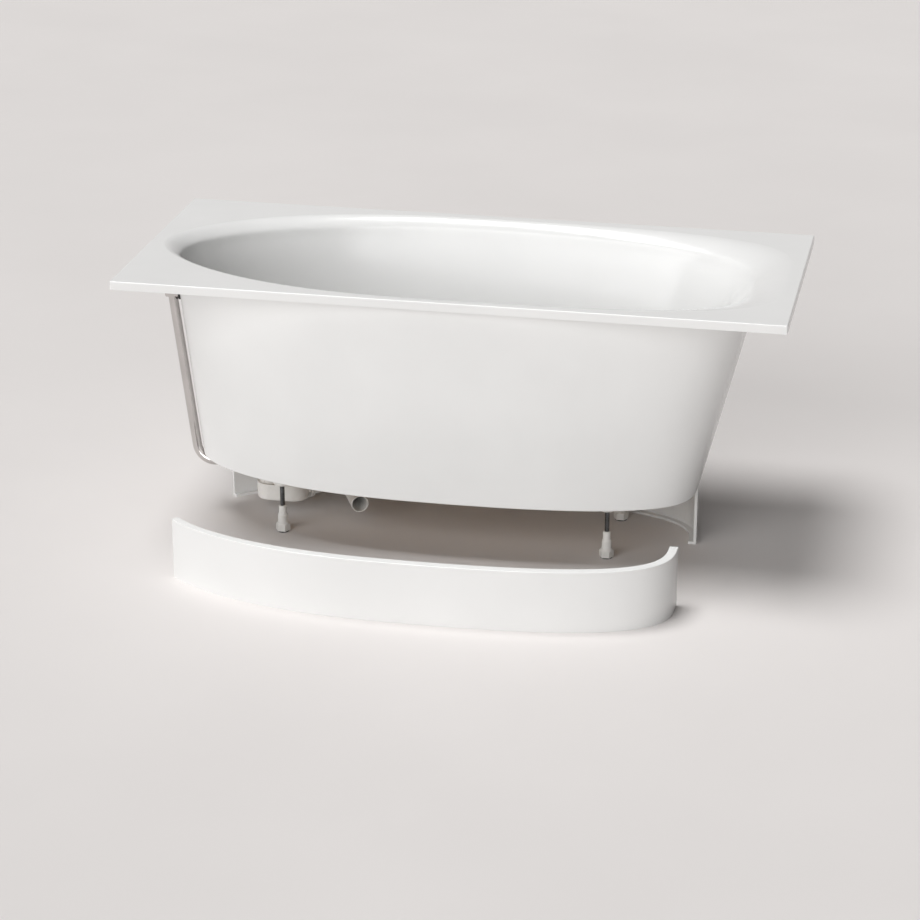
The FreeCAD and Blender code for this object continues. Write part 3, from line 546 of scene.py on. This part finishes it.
@dataclass
class GripRibs:
    """Ribs round a nut that is tightened by hand."""

    node: str
    axis: Axis
    count: int
    height: float
    above_middle: float = 0.0
    width: float = 2.4 * MM
    rise: float = 1.1 * MM
    sink: float = 0.6 * MM
    bevel: float = 0.5 * MM
    bevel_steps: int = 2
    weld: float = 0.01 * MM

    def build(self) -> bpy.types.Object:
        """Model one rib, round its edges, repeat it round the axis and stand the ring on the nut.

        Returns:
            The ribs, as one piece.
        """
        low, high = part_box(self.node)
        along = Vector(self.axis.value)
        reach = ((high - low).y if self.axis is Axis.UP else (high - low).z) / 2
        depth = self.rise + self.sink
        spot = Vector((0, reach + self.rise - depth / 2, 0))
        start_alone()
        bpy.ops.mesh.primitive_cube_add(size=1, location=spot, scale=(self.width, depth, self.height))
        ribs = bpy.context.object
        bpy.ops.object.transform_apply(location=True, rotation=True, scale=True)
        bevel = ribs.modifiers.new("edges", "BEVEL")
        bevel.width = self.bevel
        bevel.segments = self.bevel_steps
        apply_modifiers(ribs)
        bpy.ops.object.mode_set(mode="EDIT")
        bpy.ops.mesh.select_all(action="SELECT")
        up = Axis.UP.value
        bpy.ops.mesh.spin(steps=self.count, dupli=True, angle=2 * math.pi, center=(0, 0, 0), axis=up)
        bpy.ops.mesh.select_all(action="SELECT")
        bpy.ops.mesh.remove_doubles(threshold=self.weld)
        bpy.ops.mesh.normals_make_consistent(inside=False)
        bpy.ops.object.mode_set(mode="OBJECT")
        ribs.location = (low + high) / 2 + along * self.above_middle
        ribs.rotation_euler = along.to_track_quat("Z", "Y").to_euler()
        return settle(ribs, f"{self.node}_ribs", POLYPROPYLENE, Body.TUB)


@dataclass
class LidGrip:
    """Raised bar across the trap's lid, by which it is unscrewed."""

    node: str = "trap_lid"
    length_share: float = 0.72
    top_length_share: float = 0.9
    top_width_share: float = 0.7
    width: float = 6.0 * MM
    rise: float = 4.0 * MM
    bevel: float = 1.2 * MM
    bevel_steps: int = 3

    def build(self) -> bpy.types.Object:
        """Model the bar with rounded edges and a narrower top.

        Returns:
            The bar.
        """
        low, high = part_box(self.node)
        length = (high.x - low.x) * self.length_share
        spot = Vector(((low.x + high.x) / 2, (low.y + high.y) / 2, high.z + self.rise / 2))
        start_alone()
        bpy.ops.mesh.primitive_cube_add(size=1, location=spot, scale=(length, self.width, self.rise))
        bar = bpy.context.object
        bpy.ops.object.transform_apply(location=True, rotation=True, scale=True)
        for polygon in bar.data.polygons:
            polygon.select = round(polygon.normal.z) == 1
        bpy.ops.object.mode_set(mode="EDIT")
        bpy.ops.mesh.select_mode(type="FACE")
        narrower = (self.top_length_share, self.top_width_share, 1.0)
        bpy.ops.transform.resize(value=narrower, center_override=spot)
        bpy.ops.object.mode_set(mode="OBJECT")
        bevel = bar.modifiers.new("edges", "BEVEL")
        bevel.width = self.bevel
        bevel.segments = self.bevel_steps
        apply_modifiers(bar)
        return settle(bar, "trap_lid_grip", POLYPROPYLENE, Body.TUB)


@dataclass(frozen=True)
class Lamp:
    """A far, wide and soft lamp, placed by the direction that its light comes from."""

    name: str
    elevation: float
    turn: float
    spread: float
    strength: float

    def hang(self) -> None:
        """Hang the lamp: turn counts from the front towards the left, in degrees, as all its angles."""
        rise, turn = math.radians(self.elevation), math.radians(self.turn)
        towards = Vector((-math.sin(turn) * math.cos(rise), -math.cos(turn) * math.cos(rise), math.sin(rise)))
        data = bpy.data.lights.new(self.name, "SUN")
        data.angle = math.radians(self.spread)
        data.energy = self.strength
        lamp = bpy.data.objects.new(self.name, data)
        bpy.context.scene.collection.objects.link(lamp)
        lamp.rotation_euler = towards.to_track_quat("Z", "Y").to_euler()


@dataclass
class Studio:
    """Pale floor, soft lamps, world and the camera of the photograph."""

    floor_side: float = 80.0
    floor_colour: str = "#E4E0DE"
    floor_shade: str = "#E1DDDB"
    world_colour: str = "#F4F0EE"
    world_strength: float = 0.03
    seen_strength: float = 0.75
    lamps: tuple[Lamp, ...] = (
        Lamp("key", elevation=75.0, turn=80.0, spread=28.0, strength=2.2),
        Lamp("front", elevation=14.0, turn=18.0, spread=60.0, strength=2.52),
    )
    camera_place: tuple[float, float, float] = (1.2768, -6.2056, 2.7589)
    camera_tilt: float = 21.884
    camera_yaw: float = 11.596
    sensor: float = 36.0
    lens: float = 109.64

    def build(self) -> None:
        """Set up floor, lamps, world and camera."""
        self.floor()
        for lamp in self.lamps:
            lamp.hang()
        self.world()
        self.camera()
        bpy.context.scene.view_settings.view_transform = "Standard"

    def floor(self) -> None:
        """Lay the floor and give it a pale matt paint."""
        start_alone()
        bpy.ops.mesh.primitive_plane_add(size=self.floor_side, location=(0, 0, 0))
        floor = bpy.context.object
        floor.name = "studio_floor"
        paint = Finish(
            name="matt_floor_paint",
            colour=self.floor_colour,
            shade=self.floor_shade,
            mottle_mm=900,
            roughness=0.85,
            roughness_spread=0.05,
            grain_mm=2.5,
            grain_depth_mm=0.02,
        )
        dress(floor, paint)

    def world(self) -> None:
        """Light everything faintly, and show pale studio walls to the camera and in reflections."""
        world = bpy.data.worlds.new("studio_air")
        bpy.context.scene.world = world
        world.use_nodes = True
        tree = world.node_tree
        air = next(node for node in tree.nodes if node.type == "BACKGROUND")
        air.inputs["Color"].default_value = linear(self.world_colour)
        rays = add_node(tree, "ShaderNodeLightPath").outputs
        seen = rays["Is Camera Ray"]
        for kind in ("Is Glossy Ray", "Is Transmission Ray"):
            seen = add_node(tree, "ShaderNodeMath", {0: seen, 1: rays[kind]}, operation="MAXIMUM").outputs[0]
        levels = {"Value": seen, "To Min": self.world_strength, "To Max": self.seen_strength}
        strength = add_node(tree, "ShaderNodeMapRange", levels)
        tree.links.new(strength.outputs["Result"], air.inputs["Strength"])

    def camera(self) -> None:
        """Stand the camera where the photograph was taken from."""
        data = bpy.data.cameras.new("photo_view")
        data.sensor_width = self.sensor
        data.lens = self.lens
        data.clip_end = self.floor_side
        camera = bpy.data.objects.new("photo_view", data)
        bpy.context.scene.collection.objects.link(camera)
        camera.location = self.camera_place
        camera.rotation_euler = (math.radians(90 - self.camera_tilt), 0.0, math.radians(self.camera_yaw))
        bpy.context.scene.camera = camera


def main() -> None:
    """Dress the frame, add the small fittings and set up the studio."""
    logging.basicConfig(level=logging.INFO, format="%(name)s: %(message)s")
    FrameNodes().dress()
    for corner in Corner:
        ThreadedRod(corner).build()
    GripRibs("trap_nut", Axis.UP, count=14, height=8.0 * MM, above_middle=-3.0 * MM).build()
    GripRibs("outlet_nut", Axis.BACK_RIGHT, count=14, height=12.0 * MM).build()
    GripRibs("socket_nut", Axis.RIGHT, count=10, height=14.0 * MM).build()
    LidGrip().build()
    Studio().build()


if __name__ == "__main__":
    main()
